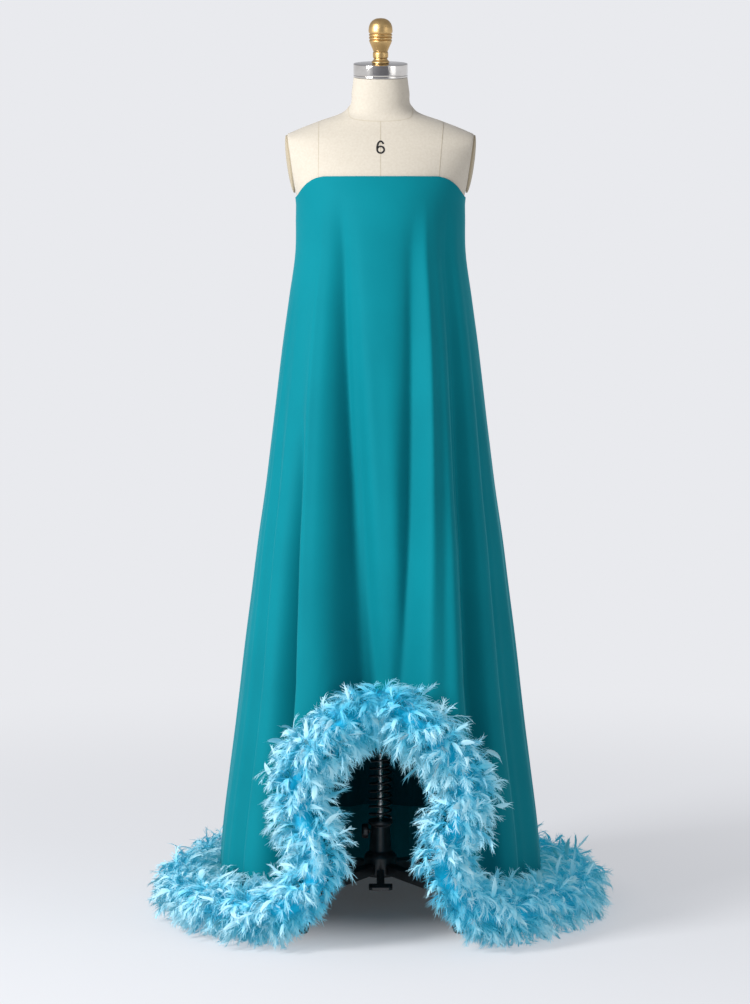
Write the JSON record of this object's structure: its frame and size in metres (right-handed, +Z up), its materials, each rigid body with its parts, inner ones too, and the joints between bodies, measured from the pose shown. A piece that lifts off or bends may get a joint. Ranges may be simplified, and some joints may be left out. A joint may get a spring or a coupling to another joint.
{
  "type": "evening dress on dress form",
  "caption": "Strapless flared evening dress with an arched high-low hem edged in feather boa, worn by a limbless dress form on a casters stand.",
  "frame": {"origin": "bottom centre of the whole part's box, on the floor", "axes": "+Z up, -Y the wearer's front, +X to the viewer's right seen from the front"},
  "size_m": [0.8238, 0.8554, 1.6171],
  "materials": {
    "teal_crepe": "matt crepe with a soft sheen",
    "teal_lining": "smooth lining",
    "blue_feather": "fluffy dyed feather",
    "cream_linen": "plain weave linen",
    "arm_plate_linen": "plain weave linen",
    "polished_steel": "polished",
    "turned_brass": "satin lacquered",
    "black_iron": "black enamel",
    "black_rubber": "matt"
  },
  "bodies": {
    "root": {"front_panel": "teal_crepe", "back_panel_left": "teal_crepe", "back_panel_right": "teal_crepe", "lining_back": "teal_lining", "boa_arch": "blue_feather", "boa_left_1": "blue_feather", "boa_left_2": "blue_feather", "boa_left_3": "blue_feather", "boa_left_4": "blue_feather", "boa_left_5": "blue_feather", "boa_left_6": "blue_feather", "boa_right_1": "blue_feather", "boa_right_2": "blue_feather", "boa_right_3": "blue_feather", "boa_right_4": "blue_feather", "boa_right_5": "blue_feather", "boa_right_6": "blue_feather", "form_body": "cream_linen", "arm_plate_left": "arm_plate_linen", "arm_plate_right": "arm_plate_linen", "neck_cap": "polished_steel", "pole": "polished_steel", "finial": "turned_brass", "base_column": "black_iron", "height_spring": "black_iron", "spring_collar": "black_iron", "leg_front_left": "black_iron", "leg_front_right": "black_iron", "leg_back_left": "black_iron", "leg_back_right": "black_iron"},
    "pedal": {"release_pedal": "black_iron"},
    "knob": {"clamp_knob": "black_iron"},
    "fork_front_left": {"fork_front_left": "black_iron"},
    "wheel_front_left": {"wheel_front_left": "black_rubber"},
    "fork_front_right": {"fork_front_right": "black_iron"},
    "wheel_front_right": {"wheel_front_right": "black_rubber"},
    "fork_back_left": {"fork_back_left": "black_iron"},
    "wheel_back_left": {"wheel_back_left": "black_rubber"},
    "fork_back_right": {"fork_back_right": "black_iron"},
    "wheel_back_right": {"wheel_back_right": "black_rubber"}
  },
  "joints": [
    {"name": "pedal_press", "type": "hinge", "parent": "root", "child": "pedal", "pos_m": [0.00033, -0.05297, 0.08], "axis": [1, 0, 0], "range_deg": [0, 12], "stiffness_Nm_per_rad": 6, "springref_deg": -6.88},
    {"name": "knob_turn", "type": "hinge", "parent": "root", "child": "knob", "pos_m": [-0.02967, -0.02177, 0.15], "axis": [-1, 0, 0], "range_deg": [-180, 0]},
    {"name": "swivel_front_left", "type": "hinge", "parent": "root", "child": "fork_front_left", "pos_m": [-0.13467, -0.18677, 0.06], "axis": [0, 0, 1], "continuous": true},
    {"name": "roll_front_left", "type": "hinge", "parent": "fork_front_left", "child": "wheel_front_left", "pos_m": [-0.13717, -0.20459, 0.025], "axis": [0.9903, -0.1392, 0], "continuous": true},
    {"name": "swivel_front_right", "type": "hinge", "parent": "root", "child": "fork_front_right", "pos_m": [0.13533, -0.18677, 0.06], "axis": [0, 0, 1], "continuous": true},
    {"name": "roll_front_right", "type": "hinge", "parent": "fork_front_right", "child": "wheel_front_right", "pos_m": [0.13969, -0.20423, 0.025], "axis": [0.9703, 0.2419, 0], "continuous": true},
    {"name": "swivel_back_left", "type": "hinge", "parent": "root", "child": "fork_back_left", "pos_m": [-0.13467, 0.14323, 0.06], "axis": [0, 0, 1], "continuous": true},
    {"name": "roll_back_left", "type": "hinge", "parent": "fork_back_left", "child": "wheel_back_left", "pos_m": [-0.14141, 0.15992, 0.025], "axis": [-0.9272, -0.3746, 0], "continuous": true},
    {"name": "swivel_back_right", "type": "hinge", "parent": "root", "child": "fork_back_right", "pos_m": [0.13533, 0.14323, 0.06], "axis": [0, 0, 1], "continuous": true},
    {"name": "roll_back_right", "type": "hinge", "parent": "fork_back_right", "child": "wheel_back_right", "pos_m": [0.1403, 0.16054, 0.025], "axis": [-0.9613, 0.2756, 0], "continuous": true}
  ]
}
